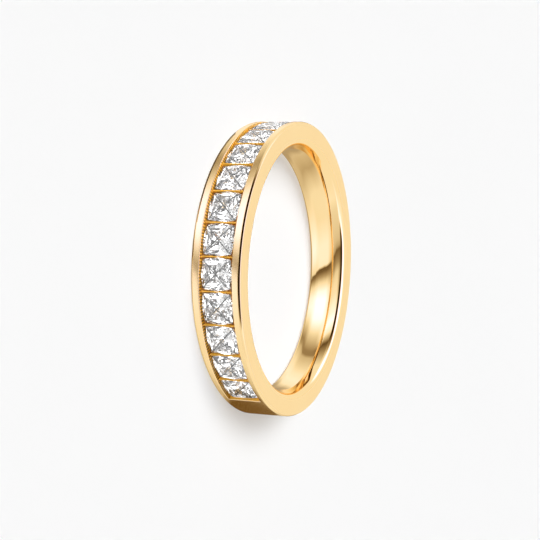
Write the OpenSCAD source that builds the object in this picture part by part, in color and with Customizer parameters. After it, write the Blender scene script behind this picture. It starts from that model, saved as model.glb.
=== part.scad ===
// Channel set band: a tapered finger ring with a row of square stones between two rims.
// The ring lies on one side face, with the middle of the stone row towards -Y.

/* [Band] */
// Bore of the finger hole, at the flat middle of the inner wall
finger_d = 17.3; // [15:0.1:21]
// Width of the band at the middle of the stone row
front_w = 3.65; // [3.4:0.05:4.5]
// Width of the band at the back of the finger
back_w = 2.8; // [2.4:0.05:3.4]
// Gold left between the points of the stones and the bore
floor_t = 0.33; // [0.25:0.01:0.6]
// Width of the flat part of the inner wall, between its two rounded sides
land_w = 1; // [0.6:0.05:1.6]
// Radius of the rounded sides of the inner wall
comfort_r = 2.6; // [2.3:0.1:6]
// Radius of the rounded outer edges
edge_r = 0.14; // [0.06:0.01:0.25]

/* [Stones] */
// Number of stones in the row
stone_n = 13; // [7:2:19]
// Size of a stone along the row
stone_l = 2.19; // [1.8:0.03:2.4]
// Size of a stone across the row
stone_w = 2.26; // [1.8:0.02:2.4]
// Height of the crown, from the girdle to the flat table
crown_h = 0.22; // [0.15:0.01:0.35]
// Thickness of the girdle
girdle_h = 0.05; // [0.03:0.01:0.1]
// Depth of the pavilion, from the girdle to the point
pavilion_h = 1.2; // [0.9:0.05:1.4]

/* [Setting] */
// Depth of the tables below the outside of the rims
recess = 0.04; // [0.03:0.01:0.15]
// Space between neighbouring stones, at their girdles
stone_gap = 0.11; // [0.09:0.01:0.2]
// Clearance between the gold and a stone
seat_gap = 0.025; // [0.015:0.005:0.03]
// How far each wall of the channel leans outwards, from the girdle to the rim
wall_lean = 0.05; // [0:0.01:0.1]
// Depth of the cross bars below the outside of the rims
bar_drop = 0.12; // [0.06:0.01:0.2]
// Height of the cross bars
bar_h = 0.5; // [0.3:0.05:0.8]

/* [Hidden] */
$fn = 96;
gold = [0.93, 0.77, 0.5];
diamond = [0.93, 0.95, 0.98];

// The band and the taper of its two side faces
stone_h = crown_h + girdle_h + pavilion_h;
wall_t = recess + stone_h + floor_t;
bore_r = finger_d / 2;
outer_r = bore_r + wall_t;
mid_w = (front_w + back_w) / 2;
taper = atan((front_w - back_w) / (4 * outer_r));
over = 1;

// Radii, from the ring's axis, of the stones' girdles and points
girdle_top_r = outer_r - recess - crown_h;
girdle_low_r = girdle_top_r - girdle_h;
point_r = girdle_low_r - pavilion_h;
pitch = 2 * atan((stone_l + stone_gap) / 2 / girdle_top_r);
row_angle = stone_n * pitch;

// Crown and pavilion levels of a stone, from the girdle outwards and inwards
// Columns: share of the height, share of the half size at the corners
CROWN = [[0, 1], [0.45, 0.9], [1, 0.7]];
// Columns: share of the depth, share of the half size on the middle of a side
CHEVRONS = [[0, 1], [0.4, 0.72], [0.75, 0.33]];

// Lays the ring down, so that its lower side face is level at Z = 0
module lay_down()
    translate([0, sin(taper), cos(taper)] * mid_w / 2)
        rotate([-taper, 0, 0]) children();

// Turns a piece that is drawn along -Y to its place in the row
module at_row(steps) rotate([0, 0, steps * pitch]) children();

// Everything beyond the upper side face, less a rounded outer edge
module beyond_face() {
    // A little over the edge's own radius, so that the arc crosses both faces cleanly
    round_r = edge_r * 1.05;
    translate([0, 0, mid_w / 2]) rotate([-taper, 0, 0]) {
        translate([0, 0, front_w / 2]) cube([3 * outer_r, 3 * outer_r, front_w], center = true);
        rotate_extrude() translate([outer_r - edge_r, -edge_r]) difference() {
            square(edge_r + over);
            circle(round_r);
        }
    }
}

// The finger hole: a true bore, opening out in an arc towards each side face
module finger_hole() rotate_extrude() {
    translate([0, -land_w / 2]) square([bore_r, land_w]);
    for (side = [0, 1]) mirror([0, side]) difference() {
        translate([0, land_w / 2]) square([bore_r + over, front_w / 2]);
        translate([bore_r + comfort_r, land_w / 2]) circle(comfort_r);
    }
}

// The channel's section, through the axis: a leaning wall, then a seat that follows the stones
function half_channel(s) = [
    [outer_r + over, s * (stone_w / 2 + seat_gap + wall_lean * (1 + over / (recess + crown_h)))],
    [girdle_top_r, s * (stone_w / 2 + seat_gap)],
    for (c = CHEVRONS)
        [girdle_low_r - seat_gap - c[0] * pavilion_h, s * (c[1] * stone_w / 2 + seat_gap)],
    [point_r - seat_gap, s * seat_gap]
];

module channel() {
    top = half_channel(1);
    low = half_channel(-1);
    rotate([0, 0, -90 - row_angle / 2]) rotate_extrude(angle = row_angle)
        polygon(concat(top, [for (i = [len(low) - 1:-1:0]) low[i]]));
}

module bar() {
    bar_t = stone_gap - 2 * seat_gap;
    translate([-bar_t / 2, -outer_r + bar_drop, -(stone_w / 2 + wall_lean + seat_gap)])
        cube([bar_t, bar_h, stone_w + 2 * (wall_lean + seat_gap)]);
}

module band() color(gold) lay_down() {
    difference() {
        cylinder(h = front_w + over, r = outer_r, center = true);
        beyond_face();
        mirror([0, 0, 1]) beyond_face();
        finger_hole();
        channel();
    }
    for (i = [1:stone_n - 1]) at_row(i - stone_n / 2) bar();
}

// A stone stands on its point at the origin of this module, with its table up
function square_ring(l, w, z) = [[l, w, z], [-l, w, z], [-l, -w, z], [l, -w, z]];
function middle_ring(l, w, z) = [[0, w, z], [-l, 0, z], [0, -w, z], [l, 0, z]];

module princess_cut() {
    l = stone_l / 2;
    w = stone_w / 2;
    low_z = pavilion_h;
    top_z = low_z + girdle_h;
    crown_levels = len(CROWN);
    chevrons = len(CHEVRONS);
    low = crown_levels * 4;
    mid = low + 4;
    point = mid + 4 * chevrons;
    points = concat(
        [for (c = CROWN) each square_ring(c[1] * l, c[1] * w, top_z + c[0] * crown_h)],
        square_ring(l, w, low_z),
        [for (c = CHEVRONS) each middle_ring(c[1] * l, c[1] * w, low_z * (1 - c[0]))],
        [[0, 0, 0]]
    );
    table = [[for (k = [3:-1:0]) low - 4 + k]];
    crown = [for (c = [0:crown_levels - 2], k = [0:3])
        [4 * c + k, 4 * c + 4 + k, 4 * c + 4 + (k + 1) % 4, 4 * c + (k + 1) % 4]];
    girdle = [for (k = [0:3]) [mid + k, low + k, k, (k + 1) % 4, low + (k + 1) % 4]];
    pavilion = [for (c = [0:chevrons - 1], k = [0:3])
        let (m = mid + 4 * c + k, next = c == chevrons - 1 ? point : m + 4)
            each [[low + k, m, next], [m, low + (k + 1) % 4, next]]];
    polyhedron(points = points, faces = concat(table, crown, girdle, pavilion));
}

module stone(number) color(diamond) lay_down()
    at_row(number - (stone_n + 1) / 2)
        translate([0, -point_r, 0]) rotate([90, 0, 0]) princess_cut();

band();
for (i = [1:stone_n]) stone(i);
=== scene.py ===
import math

import bmesh
import bpy
from mathutils import Matrix, Vector


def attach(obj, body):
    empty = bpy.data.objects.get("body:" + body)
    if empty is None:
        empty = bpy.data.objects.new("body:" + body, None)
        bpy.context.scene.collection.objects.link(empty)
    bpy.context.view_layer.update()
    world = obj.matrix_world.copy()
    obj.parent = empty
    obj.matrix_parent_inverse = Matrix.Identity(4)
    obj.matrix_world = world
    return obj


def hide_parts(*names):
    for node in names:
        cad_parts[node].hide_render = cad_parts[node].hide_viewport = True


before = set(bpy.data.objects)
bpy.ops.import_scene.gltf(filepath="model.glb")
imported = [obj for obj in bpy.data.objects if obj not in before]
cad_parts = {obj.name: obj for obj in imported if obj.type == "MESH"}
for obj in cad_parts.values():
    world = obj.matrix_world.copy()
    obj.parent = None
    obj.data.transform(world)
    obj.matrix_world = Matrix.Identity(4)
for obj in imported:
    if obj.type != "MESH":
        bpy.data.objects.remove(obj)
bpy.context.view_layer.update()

# The table: a smooth pale sheet that the ring lies on, lit so that it runs out to plain white.
# The camera stands low over it and is turned on its side, so that the ring is upright in the
# picture. The sheet is left out of the gold's reflections, which show only the studio round it.
mm = 0.001
cloud_contrast = 2.5


def connect(tree, socket, value):
    if isinstance(value, bpy.types.NodeSocket):
        tree.links.new(value, socket)
    else:
        socket.default_value = value


def calc(tree, operation, *values):
    node = tree.nodes.new("ShaderNodeMath")
    node.operation = operation
    for socket, value in zip(node.inputs, values):
        connect(tree, socket, value)
    return node.outputs[0]


def blend(tree, share, low, high, kind="FLOAT"):
    node = tree.nodes.new("ShaderNodeMix")
    node.data_type = kind
    connect(tree, node.inputs["Factor"], share)
    connect(tree, node.inputs["A"], low)
    connect(tree, node.inputs["B"], high)
    return node.outputs["Result"]


def new_group(name, inputs, outputs):
    group = bpy.data.node_groups.new(name, "ShaderNodeTree")
    for label in inputs:
        group.interface.new_socket(label, in_out="INPUT", socket_type="NodeSocketFloat")
    for label in outputs:
        group.interface.new_socket(label, in_out="OUTPUT", socket_type="NodeSocketFloat")
    return group, group.nodes.new("NodeGroupInput"), group.nodes.new("NodeGroupOutput")


def place_group(tree, group, **values):
    node = tree.nodes.new("ShaderNodeGroup")
    node.node_tree = group
    for label, value in values.items():
        connect(tree, node.inputs[label], value)
    return node.outputs


cloudy, given, result = new_group("cloudy_variation", ["Patches", "Low", "High"], ["Value"])
place = cloudy.nodes.new("ShaderNodeTexCoord").outputs["Object"]
clouds = cloudy.nodes.new("ShaderNodeTexNoise")
clouds.inputs["Detail"].default_value = 3
connect(cloudy, clouds.inputs["Vector"], place)
connect(cloudy, clouds.inputs["Scale"], given.outputs["Patches"])
spread = calc(cloudy, "MULTIPLY_ADD", clouds.outputs["Fac"], cloud_contrast, (1 - cloud_contrast) / 2)
spread = calc(cloudy, "MINIMUM", calc(cloudy, "MAXIMUM", spread, 0.0), 1.0)
value = blend(cloudy, spread, given.outputs["Low"], given.outputs["High"])
connect(cloudy, result.inputs["Value"], value)


def new_material(name):
    material = bpy.data.materials.new(name)
    material.use_nodes = True
    return material, material.node_tree, material.node_tree.nodes["Principled BSDF"]


def new_object(name, bm, material):
    mesh = bpy.data.meshes.new(name)
    bm.to_mesh(mesh)
    bm.free()
    mesh.materials.append(material)
    piece = bpy.data.objects.new(name, mesh)
    bpy.context.collection.objects.link(piece)
    return piece


view_azimuth = math.radians(22.67)
view_elevation = math.radians(25.25)
view_roll = math.radians(91.92)
view_distance = 107.64 * mm
view_target = Vector((0.235, -0.19, 0.97)) * mm

camera = bpy.data.objects.new("camera", bpy.data.cameras.new("camera"))
bpy.context.collection.objects.link(camera)
camera.data.lens = 100
camera.data.sensor_width = 36
camera.data.clip_start = 1 * mm
camera.data.clip_end = 2000 * mm
back = Vector((
    math.sin(view_azimuth) * math.cos(view_elevation),
    -math.cos(view_azimuth) * math.cos(view_elevation),
    math.sin(view_elevation),
))
turned = (-back).to_track_quat("-Z", "Y").to_matrix() @ Matrix.Rotation(view_roll, 3, "Z")
camera.matrix_world = Matrix.Translation(view_target + back * view_distance) @ turned.to_4x4()
bpy.context.scene.camera = camera

table_size = 3000 * mm
paper_grey = 0.55
paper_change = 0.004
paper_patches = 40
paper_glow = 0.42
paper_roughness = 0.9
bm = bmesh.new()
bmesh.ops.create_grid(bm, x_segments=1, y_segments=1, size=table_size / 2)
table_white, tree, surface = new_material("table_white")
tone = place_group(tree, cloudy, Patches=paper_patches, Low=paper_grey - paper_change,
                   High=paper_grey + paper_change)
paper = tree.nodes.new("ShaderNodeCombineColor")
for channel in paper.inputs:
    connect(tree, channel, tone["Value"])
connect(tree, surface.inputs["Base Color"], paper.outputs["Color"])
surface.inputs["Roughness"].default_value = paper_roughness
surface.inputs["Emission Color"].default_value = (1, 1, 1, 1)
surface.inputs["Emission Strength"].default_value = paper_glow
surface.inputs["Specular IOR Level"].default_value = 0
table = new_object("table", bm, table_white)
table.visible_glossy = False

# The light: one soft lamp high over the front of the ring, in a pale dome. The polished gold
# mirrors rows of soft boxes with dark gaps between them, by bearings in degrees from the front of
# the ring towards +X, heights in degrees over the table, and levels as shares of plain white.
world = bpy.data.worlds.new("studio")
bpy.context.scene.world = world
bpy.context.scene.view_settings.view_transform = "Standard"
bpy.context.scene.cycles.glossy_bounces = 12
bpy.context.scene.cycles.max_bounces = 16
bpy.context.scene.cycles.transmission_bounces = 16
world.use_nodes = True
world.cycles.sampling_method = "NONE"
sky = world.node_tree
backdrop = sky.nodes["Background"]

lamp_from = Vector((-0.35, -0.36, 0.865)).normalized()
lamp_spread = math.radians(22)
lamp_level = 7.17
dome_level = 0.1
pale_wall = (0.955, 0.955, 0.95, 1)
brightest = 2.0
all_round = 360
pole_to_pole = 180
upright_lean = 35
most_lean = 60


def sky_ramp(angle, degrees_in_all, stops, top=brightest, curve="LINEAR"):
    ramp = sky.nodes.new("ShaderNodeValToRGB")
    ramp.color_ramp.interpolation = curve
    share = calc(sky, "MULTIPLY_ADD", angle, 1 / math.radians(degrees_in_all), 0.5)
    connect(sky, ramp.inputs["Fac"], share)
    points = ramp.color_ramp.elements
    while len(points) < len(stops):
        points.new(1)
    for point, (degrees, level) in zip(points, sorted(stops)):
        point.position = degrees / degrees_in_all + 0.5
        point.color = (level / top, level / top, level / top, 1)
    return calc(sky, "MULTIPLY", ramp.outputs["Color"], top)


def vector_calc(tree, operation, *values, **named):
    node = tree.nodes.new("ShaderNodeVectorMath")
    node.operation = operation
    for socket, value in zip(node.inputs, values):
        connect(tree, socket, value)
    for label, value in named.items():
        connect(tree, node.inputs[label], value)
    return node.outputs


# The boxes lean over more and more with their height, as strips of a dome do from the side.
direction = sky.nodes.new("ShaderNodeTexCoord").outputs["Generated"]
split = sky.nodes.new("ShaderNodeSeparateXYZ")
connect(sky, split.inputs[0], direction)
front = calc(sky, "MULTIPLY", split.outputs["Y"], -1.0)
straight_bearing = calc(sky, "ARCTAN2", split.outputs["X"], front)
height = calc(sky, "ARCSINE", split.outputs["Z"])
lean = sky_ramp(height, pole_to_pole, [
    (-90, 0), (-80, 4), (-72, 12), (-63, 22), (-54, 29), (-36, 32), (-18, 35), (0, 42.5),
    (12, 47), (20, 55), (32, 60), (60, 45),
], most_lean, "B_SPLINE")
lean = calc(sky, "MULTIPLY_ADD", lean, math.radians(1), math.radians(-upright_lean))
bearing = calc(sky, "SUBTRACT", straight_bearing, lean)

nadir = sky_ramp(bearing, all_round, [
    (-180, 0.5), (-60, 0.45), (-35, 0.2), (26, 0.2), (30, 0.45), (120, 0.65), (180, 0.5),
])
low = sky_ramp(bearing, all_round, [
    (-180, 0.5), (-140, 0.5), (-110, 1.1), (-90, 1.0), (-72, 0.6), (-62, 0.34), (-47, 0.75),
    (-33, 1.15), (-19, 1.35), (-5, 1.25), (8, 0.95), (15, 0.55), (21, 0.25), (25.5, 0.2),
    (27.5, 0.95), (46, 1.25), (60, 1.35), (72, 1.3), (84, 1.2), (98, 1.1), (111, 1.0),
    (134, 0.9), (160, 0.7), (180, 0.5),
])
below = sky_ramp(bearing, all_round, [
    (-180, 0.5), (-150, 0.4), (-138, 0.6), (-125, 1.1), (-112, 1.2), (-98, 1.1), (-86, 0.9),
    (-73, 0.68), (-69, 0.34), (-64, 0.34), (-54, 0.62), (-46, 0.86), (-36, 1.22), (-27, 1.5),
    (-8, 1.6), (2, 1.4), (12, 0.95), (17, 0.5), (22, 0.2), (25.5, 0.15), (27.5, 1.15),
    (35, 1.2), (48, 1.2), (60, 1.1), (75, 1.0), (107, 0.98), (123, 0.78), (140, 0.55),
    (152, 0.64), (168, 0.72), (180, 0.5),
])
level = sky_ramp(bearing, all_round, [
    (-180, 1.0), (-95, 1.0), (-87, 1.0), (-79, 0.7), (-70, 0.35), (-63, 0.12), (-58, 0.6),
    (-52, 1.2), (-42, 1.5), (-34, 1.3), (-25, 1.2), (-15, 1.05), (-5, 1.0), (4, 0.88),
    (13, 0.43), (19, 0.3), (25.5, 0.2), (29, 0.55), (36, 0.74), (43, 0.8), (56, 0.86),
    (69, 0.9), (83, 1.05), (99, 1.0), (140, 1.0), (180, 1.0),
])
shoulder = sky_ramp(bearing, all_round, [
    (-180, 1.0), (-140, 1.0), (-130, 1.4), (-122, 1.6), (-112, 1.6), (-104, 1.3), (-94, 0.8),
    (-86, 0.7), (-76, 0.3), (-66, 0.04), (22, 0.04), (38, 0.3), (52, 1.0), (180, 1.0),
])
gap = sky_ramp(bearing, all_round, [
    (-180, 1.0), (-145, 1.0), (-135, 1.4), (-128, 1.6), (-105, 1.6), (-96, 1.2), (-84, 0.4),
    (-66, 0.02), (45, 0.03), (58, 1.5), (75, 1.3), (110, 1.0), (180, 1.0),
])
overhead = sky_ramp(bearing, all_round, [
    (-180, 1.05), (-150, 1.05), (-139, 1.3), (-128, 1.5), (-118, 1.6), (80, 1.6), (95, 1.2),
    (120, 1.1), (180, 1.05),
])
rows_upwards = [  # heights between which a row takes over from the one below it
    (-80, -70, low),
    (-62, -34, below),
    (-16, -2, level),
    (20, 24, shoulder),
    (27, 31, gap),
    (51, 59, overhead),
]
boxes = nadir
for start, end, row in rows_upwards:
    share = sky_ramp(height, pole_to_pole, [(start, 0.0), (end, 1.0)], 1.0)
    boxes = blend(sky, share, boxes, row)

# In the darker boxes the light is warmer, and in the brightest it is whiter than the gold.
green_fall = 0.2
blue_fall = 0.55
blue_rise = 1.3
shade = calc(sky, "MINIMUM", boxes, 1.0)
glare = calc(sky, "MAXIMUM", boxes, 1.0)
green_share = calc(sky, "POWER", shade, green_fall)
blue_share = calc(sky, "MULTIPLY", calc(sky, "POWER", shade, blue_fall),
                  calc(sky, "POWER", glare, blue_rise))
gold_light = sky.nodes.new("ShaderNodeCombineColor")
connect(sky, gold_light.inputs["Red"], boxes)
connect(sky, gold_light.inputs["Green"], calc(sky, "MULTIPLY", boxes, green_share))
connect(sky, gold_light.inputs["Blue"], calc(sky, "MULTIPLY", boxes, blue_share))

# Through the stones shines a white light with small dark flecks in it, a little brighter and
# plainer towards +X. Their outsides mirror one even light.
sparkle_level = 3.4
sparkle_more_at_end = 0.6
surface_light = (1.2, 1.2, 1.2, 1)
fewer_flecks_at_end = 0.03
fleck_scale = 24
fleck_dark = (0.01, 0.012, 0.015, 1)
fleck_dark_to = 0.4
fleck_white = (1, 1, 1, 1)
fleck_white_from = 0.435
flecks = sky.nodes.new("ShaderNodeTexNoise")
flecks.inputs["Scale"].default_value = fleck_scale
flecks.inputs["Detail"].default_value = 0
connect(sky, flecks.inputs["Vector"], direction)
to_end = calc(sky, "MAXIMUM", split.outputs["X"], 0.0)
whiteness = calc(sky, "MULTIPLY_ADD", to_end, fewer_flecks_at_end, flecks.outputs["Fac"])
sparkle = sky.nodes.new("ShaderNodeValToRGB")
connect(sky, sparkle.inputs["Fac"], whiteness)
dark, white = sparkle.color_ramp.elements
dark.position = fleck_dark_to
dark.color = fleck_dark
white.position = fleck_white_from
white.color = fleck_white
strength = calc(sky, "MULTIPLY_ADD", to_end, sparkle_more_at_end, sparkle_level)
stone_light = vector_calc(sky, "SCALE", sparkle.outputs["Color"], Scale=strength)["Vector"]

toward_lamp = vector_calc(sky, "DOT_PRODUCT", direction, lamp_from)["Value"]
in_lamp = calc(sky, "GREATER_THAN", toward_lamp, math.cos(lamp_spread))
soft_light = calc(sky, "MULTIPLY_ADD", in_lamp, lamp_level, dome_level)
ray = sky.nodes.new("ShaderNodeLightPath")
seen = blend(sky, ray.outputs["Is Glossy Ray"], soft_light, gold_light.outputs["Color"], "RGBA")
off_surface = calc(sky, "LESS_THAN", ray.outputs["Transmission Depth"], 0.5)
stone_seen = blend(sky, off_surface, stone_light, surface_light, "RGBA")
seen = blend(sky, ray.outputs["Is Singular Ray"], seen, stone_seen, "RGBA")
seen = blend(sky, ray.outputs["Is Camera Ray"], seen, pale_wall, "RGBA")
connect(sky, backdrop.inputs["Color"], seen)

# The flags: two small dark brown cards on the table, one beyond the +X side of the ring and one
# along the foot of its front rim. They are painted shadow that only the gold sees: it mirrors in
# them the shadow that the ring stands in, brown on its plain back and as a thin dark line along the
# rim's lower edge.
flag_pale = (0.66, 0.6, 0.5, 1)
# Painted shadow: the dark middle of the back card, fading to pale towards its edge.
flag_shadow_brown = (0.17, 0.1, 0.03, 1)
flag_centre = Vector((11, 4, 0.01)) * mm
flag_reach = Vector((3.2, 5, 1)) * mm
flag_radius = 1.14
flag_fade_start = 0.78
flag_fade_end = 1.12
flag_edge = 9
# Painted shadow: the thin dark line that the rim's foot mirrors.
foot_shadow_dark = (0.03, 0.02, 0.01, 1)
foot_inner = 10.43
foot_outer = 10.72
foot_lift = 0.004
foot_start = -7
foot_fade = -0.8
foot_end = 1.2


def cut_away(bm, at, beyond):
    bmesh.ops.bisect_plane(bm, geom=bm.verts[:] + bm.edges[:] + bm.faces[:], dist=1e-6,
                           plane_co=Vector(at) * mm, plane_no=beyond, clear_outer=True)


def share_between(tree, value, start, end):
    node = tree.nodes.new("ShaderNodeMapRange")
    connect(tree, node.inputs["Value"], value)
    node.inputs["From Min"].default_value = start
    node.inputs["From Max"].default_value = end
    return node.outputs["Result"]


def new_card(name):
    card, tree, surface = new_material(name)
    surface.inputs["Base Color"].default_value = (0, 0, 0, 1)
    surface.inputs["Specular IOR Level"].default_value = 0
    surface.inputs["Emission Strength"].default_value = 1
    place = tree.nodes.new("ShaderNodeTexCoord").outputs["Object"]
    return card, tree, surface.inputs["Emission Color"], place


bm = bmesh.new()
bmesh.ops.create_circle(bm, cap_ends=True, segments=64, radius=flag_radius)
bmesh.ops.scale(bm, verts=bm.verts, vec=flag_reach)
bmesh.ops.translate(bm, verts=bm.verts, vec=flag_centre)
cut_away(bm, (flag_edge, 0, 0), (-1, 0, 0))
painted_shadow_card, tree, colour, place = new_card("painted_shadow_card")
from_centre = vector_calc(tree, "SUBTRACT", place, flag_centre)["Vector"]
in_reaches = vector_calc(tree, "DIVIDE", from_centre, flag_reach)["Vector"]
distance = vector_calc(tree, "LENGTH", in_reaches)["Value"]
fade = share_between(tree, distance, flag_fade_start, flag_fade_end)
connect(tree, colour, blend(tree, fade, flag_shadow_brown, flag_pale, "RGBA"))
back_flag = new_object("back_flag", bm, painted_shadow_card)

bm = bmesh.new()
for radius in (foot_inner, foot_outer):
    bmesh.ops.create_circle(bm, segments=256, radius=radius * mm)
bmesh.ops.bridge_loops(bm, edges=bm.edges[:])
bmesh.ops.translate(bm, verts=bm.verts, vec=(0, 0, foot_lift * mm))
cut_away(bm, (foot_start, 0, 0), (-1, 0, 0))
cut_away(bm, (foot_end, 0, 0), (1, 0, 0))
cut_away(bm, (0, 0, 0), (0, 1, 0))
painted_shadow_line, tree, colour, place = new_card("painted_shadow_line")
split = tree.nodes.new("ShaderNodeSeparateXYZ")
connect(tree, split.inputs[0], place)
fade = share_between(tree, split.outputs["X"], foot_fade * mm, foot_end * mm)
connect(tree, colour, blend(tree, fade, foot_shadow_dark, flag_pale, "RGBA"))
foot_flag = new_object("foot_flag", bm, painted_shadow_line)

for flag in (back_flag, foot_flag):
    flag.visible_camera = False
    flag.visible_diffuse = False
    flag.visible_transmission = False
    flag.visible_shadow = False

# The band: one casting of 18 carat yellow gold, polished, with slightly satin sides. It tapers
# towards the back, its bore is rounded at both sides for comfort, and a channel with closed ends
# and matt walls holds the stones between two rims, with a thin bar under each gap.
outer_r = 10.49
bore_r = 8.65
bore_zone_r = 9.1
front_w = 3.65
back_w = 2.8
half_w = (front_w + back_w) / 4
taper = math.atan((front_w - back_w) / (4 * outer_r))
chamfer_w = 0.16
chamfer_d = 0.085
chamfer_rounding = 0.12
rim_bevel = 0.04
stone_count = 13
stone_l = 2.19
stone_w = 2.26
stone_gap = 0.11
seat_gap = 0.025
girdle_r = 10.23
wall_lean = 0.05
pitch = 2 * math.atan((stone_l + stone_gap) / 2 / girdle_r)
row_angle = stone_count * pitch
row_start = -math.pi / 2 - row_angle / 2
lay_down = (
    Matrix.Scale(mm, 4)
    @ Matrix.Translation(Vector((0, math.sin(taper), math.cos(taper))) * half_w)
    @ Matrix.Rotation(-taper, 4, "X")
)
girdle_half = stone_w / 2 + seat_gap
channel_half = girdle_half + wall_lean
seat_levels = [  # radius, share of the stones' width there
    (10.155, 1),
    (9.675, 0.72),
    (9.255, 0.33),
    (8.92, 0),
]
seat = [(girdle_r, girdle_half)]
seat += [(r, share * stone_w / 2 + seat_gap) for r, share in seat_levels]
seat_bottom_half = 0.05
bore_corners = [  # depth below the side, radius there, radius of the rounding
    (0, outer_r - chamfer_d, 0.07),
    (0, 8.972, 0.45),
    (0.7, 8.731, 1.92),
    (0.875, 8.689, 1.36),
    (1.175, bore_r, 3.46),
]
round_steps = 8
steps_per_stone = 12
plain_steps = 192
same_place = 0.002
sharp_angle = math.radians(30)


def rounded(corners):
    points = []
    for before, corner, after in zip(corners[-1:] + corners[:-1], corners, corners[1:] + corners[:1]):
        here = Vector(corner[:2])
        rounding = corner[2]
        if rounding == 0:
            points.append(here)
            continue
        to_before = (Vector(before[:2]) - here).normalized()
        to_after = (Vector(after[:2]) - here).normalized()
        half = to_before.angle(to_after) / 2
        middle = here + (to_before + to_after).normalized() * rounding / math.sin(half)
        spoke = here + to_before * rounding / math.tan(half) - middle
        turn = (math.pi - 2 * half) * math.copysign(1, to_after.cross(to_before))
        for step in range(round_steps + 1):
            points.append(middle + Matrix.Rotation(turn * step / round_steps, 2) @ spoke)
    return points


def outline(notch):
    upper = [(outer_r, channel_half, 0), (outer_r, half_w - chamfer_w, chamfer_rounding)]
    upper += [(r, half_w - depth, rounding) for depth, r, rounding in bore_corners]
    lower = [(r, -z, rounding) for r, z, rounding in reversed(upper)]
    back = [(r, -z, 0) for r, z in notch] + [(r, z, 0) for r, z in reversed(notch)]
    return rounded(upper + lower + back)


def turn_outline(bm, points, start, angle, steps):
    ring = [bm.verts.new((r * math.cos(start), r * math.sin(start), z)) for r, z in points]
    edges = [bm.edges.new((a, b)) for a, b in zip(ring, ring[1:] + ring[:1])]
    bmesh.ops.spin(bm, geom=ring + edges, cent=(0, 0, 0), axis=(0, 0, 1), angle=angle, steps=steps)


def on_channel_edge(v):
    at_outside = abs(v.co.xy.length - outer_r) < same_place
    return at_outside and abs(abs(v.co.z) - channel_half) < same_place


bm = bmesh.new()
turn_outline(bm, outline(seat), row_start, row_angle, stone_count * steps_per_stone)
turn_outline(bm, outline([]), row_start + row_angle, 2 * math.pi - row_angle, plain_steps)
bmesh.ops.remove_doubles(bm, verts=bm.verts, dist=1e-4)
bmesh.ops.holes_fill(bm, edges=[e for e in bm.edges if len(e.link_faces) < 2], sides=0)
bmesh.ops.recalc_face_normals(bm, faces=bm.faces)
channel_edges = [e for e in bm.edges if all(on_channel_edge(v) for v in e.verts)]
bmesh.ops.bevel(bm, geom=channel_edges, offset=rim_bevel, segments=3, profile=0.5,
                affect="EDGES", material=-1, offset_type="OFFSET")
for v in bm.verts:
    near_row = abs(v.co.z) < channel_half + rim_bevel * 1.5
    in_channel = near_row and (v.co.xy.length > bore_zone_r or abs(v.co.z) < seat_bottom_half)
    if not in_channel:
        v.co.z -= v.co.y * math.tan(taper) * math.copysign(1, v.co.z)

bar_t = 0.06
bar_h = 0.5
bar_drop = 0.13
for between in range(1, stone_count):
    bar = bmesh.ops.create_cube(bm, size=1)["verts"]
    bmesh.ops.scale(bm, verts=bar, vec=(bar_t, bar_h, 2 * channel_half))
    bmesh.ops.translate(bm, verts=bar, vec=(0, bar_h / 2 + bar_drop - outer_r, 0))
    bmesh.ops.rotate(bm, verts=bar, cent=(0, 0, 0),
                     matrix=Matrix.Rotation((between - stone_count / 2) * pitch, 3, "Z"))
bmesh.ops.transform(bm, matrix=lay_down, verts=bm.verts)
for f in bm.faces:
    f.smooth = True
for e in bm.edges:
    e.smooth = e.calc_face_angle(0) < sharp_angle

# Places on the ring, for the finishes: the distance from its axis and from its middle plane in
# millimetres, the turn round it from the middle of the row in radians, and the depth below the
# nearer side of the band in millimetres.
places, given, result = new_group("places_on_ring", [], ["Radius", "Across", "Turn", "Depth"])
unlay = places.nodes.new("ShaderNodeMapping")
unlay.inputs["Scale"].default_value = (1 / mm, 1 / mm, 1 / mm)
unlay.inputs["Rotation"].default_value = (taper, 0, 0)
unlay.inputs["Location"].default_value = (0, 0, -half_w)
connect(places, unlay.inputs["Vector"], places.nodes.new("ShaderNodeTexCoord").outputs["Object"])
split = places.nodes.new("ShaderNodeSeparateXYZ")
connect(places, split.inputs[0], unlay.outputs["Vector"])
squares = calc(places, "MULTIPLY", split.outputs["X"], split.outputs["X"])
squares = calc(places, "MULTIPLY_ADD", split.outputs["Y"], split.outputs["Y"], squares)
front = calc(places, "MULTIPLY", split.outputs["Y"], -1.0)
side_at = calc(places, "MULTIPLY_ADD", front, math.tan(taper), half_w)
depth = calc(places, "SUBTRACT", side_at, calc(places, "ABSOLUTE", split.outputs["Z"]))
connect(places, result.inputs["Radius"], calc(places, "SQRT", squares))
connect(places, result.inputs["Across"], split.outputs["Z"])
connect(places, result.inputs["Turn"], calc(places, "ARCTAN2", split.outputs["X"], front))
connect(places, result.inputs["Depth"], depth)

# The gold is matt from just under the girdles up to the rims. There a faint painted glow, an
# emission that stands in for the stones' edges mirrored in it, lies on it, and a row of fine beads
# runs along the walls, with painted shade in the seams between them, where the glow is left out.
# Under the girdles, on the seats and the lower bars, the gold is painted darker and more orange:
# painted shade deep in the channel. After a few mirrorings, and through the stones, it is seen
# paler, so that it doesn't turn deep orange.
gold_yellow = (0.98, 0.735, 0.375, 1)
gold_warmer = (0.97, 0.71, 0.35, 1)
# Painted shade: the seats and lower bars deep in the channel are painted a darker, more orange gold.
gold_painted_shade_deep = (0.85, 0.5, 0.16, 1)
gold_matt = (0.95, 0.48, 0.06, 1)
# Painted shade: the seams between the beads on the walls.
seam_painted_shade = (0.3, 0.12, 0.01, 1)
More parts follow.
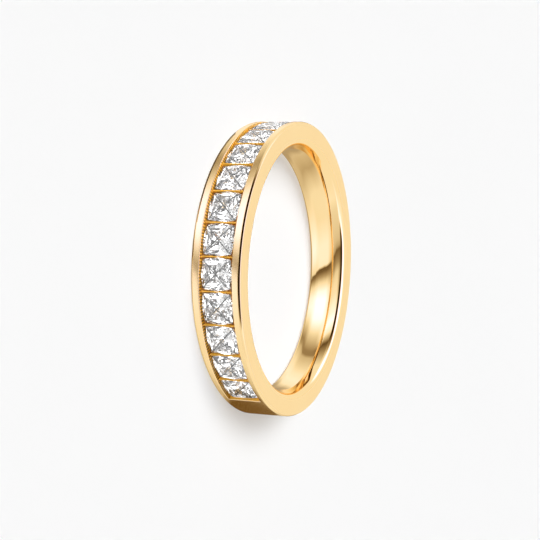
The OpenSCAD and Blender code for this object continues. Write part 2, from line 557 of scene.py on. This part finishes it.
# Painted light: a faint glow emitted by the matt gold, standing in for the stones' edges mirrored in
# it.
painted_glow_colour = (0.28, 0.14, 0.015, 1)
gold_pale = (0.95, 0.92, 0.88, 1)
gold_edge_tint = (1, 0.93, 0.78, 1)
no_glow = (0, 0, 0, 1)
gold_patches = 300
full_metallic = 1.0
matt_metallic = 0.0
matt_reach = 0.05
channel_slack = 0.01
beads_per_stone = 11
mirrorings_in_colour = 2.5
mirror_polish = 0.03
polish_change = 0.01
worn_polish = 0.24
channel_polish = 0.28
side_polish = 0.3
side_depth = 0.02
wear_from_r = 10.475
wear_full_r = 10.488
gold, tree, surface = new_material("polished_yellow_gold")
spot = place_group(tree, places)
warmth = place_group(tree, cloudy, Patches=gold_patches, Low=0.0, High=1.0)
metal = blend(tree, warmth["Value"], gold_yellow, gold_warmer, "RGBA")
off_middle = calc(tree, "ABSOLUTE", spot["Across"])
under_rims = calc(tree, "LESS_THAN", spot["Radius"], outer_r - rim_bevel)
over_bore = calc(tree, "GREATER_THAN", spot["Radius"], bore_zone_r)
between_rims = calc(tree, "LESS_THAN", off_middle, channel_half + channel_slack)
inside = calc(tree, "MULTIPLY", calc(tree, "MULTIPLY", under_rims, over_bore), between_rims)
# The beads: painted shade in the seams between them, and the painted glow only on the beads.
bead_turn = calc(tree, "MULTIPLY", spot["Turn"], 2 * math.pi * beads_per_stone / pitch)
seam_shade_mask = calc(tree, "MULTIPLY_ADD", calc(tree, "SINE", bead_turn), 0.5, 0.5)
on_wall = calc(tree, "GREATER_THAN", off_middle, girdle_half - matt_reach)
seam_shade_mask = calc(tree, "MULTIPLY", seam_shade_mask, on_wall)
matt_metal_and_seam_shade = blend(tree, seam_shade_mask, gold_matt, seam_painted_shade, "RGBA")
over_girdles = calc(tree, "GREATER_THAN", spot["Radius"], girdle_r - matt_reach)
# Painted shade: darker gold under the girdles.
channel_metal_and_shade = blend(tree, over_girdles, gold_painted_shade_deep, matt_metal_and_seam_shade, "RGBA")
metal = blend(tree, inside, metal, channel_metal_and_shade, "RGBA")
matt = calc(tree, "MULTIPLY", inside, over_girdles)
# The painted glow, left out of the seams between the beads.
painted_glow = blend(tree, seam_shade_mask, painted_glow_colour, no_glow, "RGBA")
ray = tree.nodes.new("ShaderNodeLightPath")
often = calc(tree, "GREATER_THAN", ray.outputs["Glossy Depth"], mirrorings_in_colour)
paler = calc(tree, "MAXIMUM", often, ray.outputs["Is Transmission Ray"])
connect(tree, surface.inputs["Base Color"], blend(tree, paler, metal, gold_pale, "RGBA"))
connect(tree, surface.inputs["Metallic"], blend(tree, matt, full_metallic, matt_metallic))
# Only the matt gold emits the painted glow.
connect(tree, surface.inputs["Emission Color"], blend(tree, matt, no_glow, painted_glow, "RGBA"))
surface.inputs["Emission Strength"].default_value = 1
surface.inputs["Specular Tint"].default_value = gold_edge_tint
polish = place_group(tree, cloudy, Patches=gold_patches * 3, Low=mirror_polish,
                     High=mirror_polish + polish_change)
below_side = share_between(tree, spot["Depth"], 0, side_depth)
satin = blend(tree, below_side, side_polish, polish["Value"])
outside = share_between(tree, spot["Radius"], wear_from_r, wear_full_r)
worn = blend(tree, outside, satin, worn_polish)
connect(tree, surface.inputs["Roughness"], blend(tree, inside, worn, channel_polish))
band = new_object("gold_band", bm, gold)
weighted = band.modifiers.new("even_shading", "WEIGHTED_NORMAL")
weighted.keep_sharp = True
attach(band, "root")
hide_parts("band")

# The stones: thirteen square princess cut diamonds, each cut from a block with flat facets:
# a table, a low crown, a thin girdle and four rows of chevrons down to a point. They sit edge
# to edge in the channel, held by its walls.
cut_l = 2.21
cut_w = 2.28
table_share = 0.7
crown_h = 0.22
crown_share = (1 - table_share) / 2
girdle_h = 0.05
block_half = 1.3
chevron_rows = [  # slope from facing up, turn to either side, share of the half width
    (120, 10, 0.2),
    (130, 14, 0.24),
    (137, 18, 0.27),
    (143, 22, 0.29),
]
crown_rows = [
    (40, 7, crown_share),
    (27, 0, crown_share),
]
rib_slope = 143
rib_inset = 0.02


def cut_facet(bm, point, slope, turn):
    normal = Vector((
        math.sin(math.radians(slope)) * math.cos(math.radians(turn)),
        math.sin(math.radians(slope)) * math.sin(math.radians(turn)),
        math.cos(math.radians(slope)),
    ))
    geometry = bm.verts[:] + bm.edges[:] + bm.faces[:]
    bmesh.ops.bisect_plane(bm, geom=geometry, dist=1e-5, plane_co=point, plane_no=normal,
                           clear_outer=True)
    bmesh.ops.holes_fill(bm, edges=[e for e in bm.edges if len(e.link_faces) < 2], sides=0)


def cut_rows(bm, side, half, rows, level):
    reach = 1.0
    at = math.radians(side * 90)
    for slope, turn, share in rows:
        point = Vector((reach * math.cos(at), reach * math.sin(at), level))
        cut_facet(bm, point, slope, side * 90 + half * turn)
        reach -= share
        level += share * math.tan(math.radians(slope))


def cut_stone():
    bm = bmesh.new()
    bmesh.ops.create_cube(bm, size=2)
    bmesh.ops.scale(bm, verts=bm.verts, vec=(1, 1, block_half))
    bmesh.ops.translate(bm, verts=bm.verts, vec=(0, 0, crown_h - block_half))
    for side in range(4):
        for half in (-1, 1):
            cut_rows(bm, side, half, chevron_rows, -girdle_h)
            cut_rows(bm, side, half, crown_rows, 0.0)
    lowest = min(v.co.z for v in bm.verts)
    for side in range(4):
        cut_facet(bm, Vector((0, 0, lowest + rib_inset)), rib_slope, 45 + side * 90)
    bmesh.ops.recalc_face_normals(bm, faces=bm.faces)
    return bm


# Fine dark lines are painted on the crowns, along the corner ribs and, broken up, along the
# chevrons, where the real stones mirror something dark.
clear_white = (1, 1, 1, 1)
line_dark = (0.01, 0.01, 0.01, 1)
line_half = 0.03
rib_half = 0.06
line_patches = 2500
chevron_tips = [0.22, 0.5, 0.76]
diamond_ior = 2.42
diamond, tree, surface = new_material("princess_cut_diamond")
spot = place_group(tree, places)
cell = calc(tree, "FRACT", calc(tree, "MULTIPLY_ADD", spot["Turn"], 1 / pitch, stone_count / 2))
along = calc(tree, "MULTIPLY_ADD", cell, 2 * pitch * girdle_r / cut_l, -pitch * girdle_r / cut_l)
along = calc(tree, "ABSOLUTE", along)
across = calc(tree, "ABSOLUTE", calc(tree, "MULTIPLY", spot["Across"], 2 / cut_w))
longer = calc(tree, "MAXIMUM", along, across)
shorter = calc(tree, "MINIMUM", along, across)
broken = place_group(tree, cloudy, Patches=line_patches, Low=0.0, High=1.0)
lines = calc(tree, "LESS_THAN", calc(tree, "SUBTRACT", longer, shorter), rib_half)
for tip in chevron_tips:
    off = calc(tree, "MULTIPLY_ADD", shorter, tip - 1, calc(tree, "SUBTRACT", longer, tip))
    near = calc(tree, "LESS_THAN", calc(tree, "ABSOLUTE", off), line_half)
    lines = calc(tree, "MAXIMUM", lines, calc(tree, "MULTIPLY", near, broken["Value"]))
on_crown = calc(tree, "GREATER_THAN", spot["Radius"], girdle_r)
lines = calc(tree, "MULTIPLY", lines, on_crown)
connect(tree, surface.inputs["Base Color"], blend(tree, lines, clear_white, line_dark, "RGBA"))
surface.inputs["Roughness"].default_value = 0
surface.inputs["IOR"].default_value = diamond_ior
surface.inputs["Transmission Weight"].default_value = 1
for number in range(1, stone_count + 1):
    bm = cut_stone()
    bmesh.ops.scale(bm, verts=bm.verts, vec=(cut_l / 2, cut_w / 2, 1))
    bmesh.ops.rotate(bm, verts=bm.verts, cent=(0, 0, 0), matrix=Matrix.Rotation(math.pi / 2, 3, "X"))
    bmesh.ops.translate(bm, verts=bm.verts, vec=(0, -girdle_r, 0))
    bmesh.ops.rotate(bm, verts=bm.verts, cent=(0, 0, 0),
                     matrix=Matrix.Rotation((number - (stone_count + 1) / 2) * pitch, 3, "Z"))
    bmesh.ops.transform(bm, matrix=lay_down, verts=bm.verts)
    stone = new_object(f"diamond_{number}", bm, diamond)
    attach(stone, "root")
    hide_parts(f"stone_{number}")
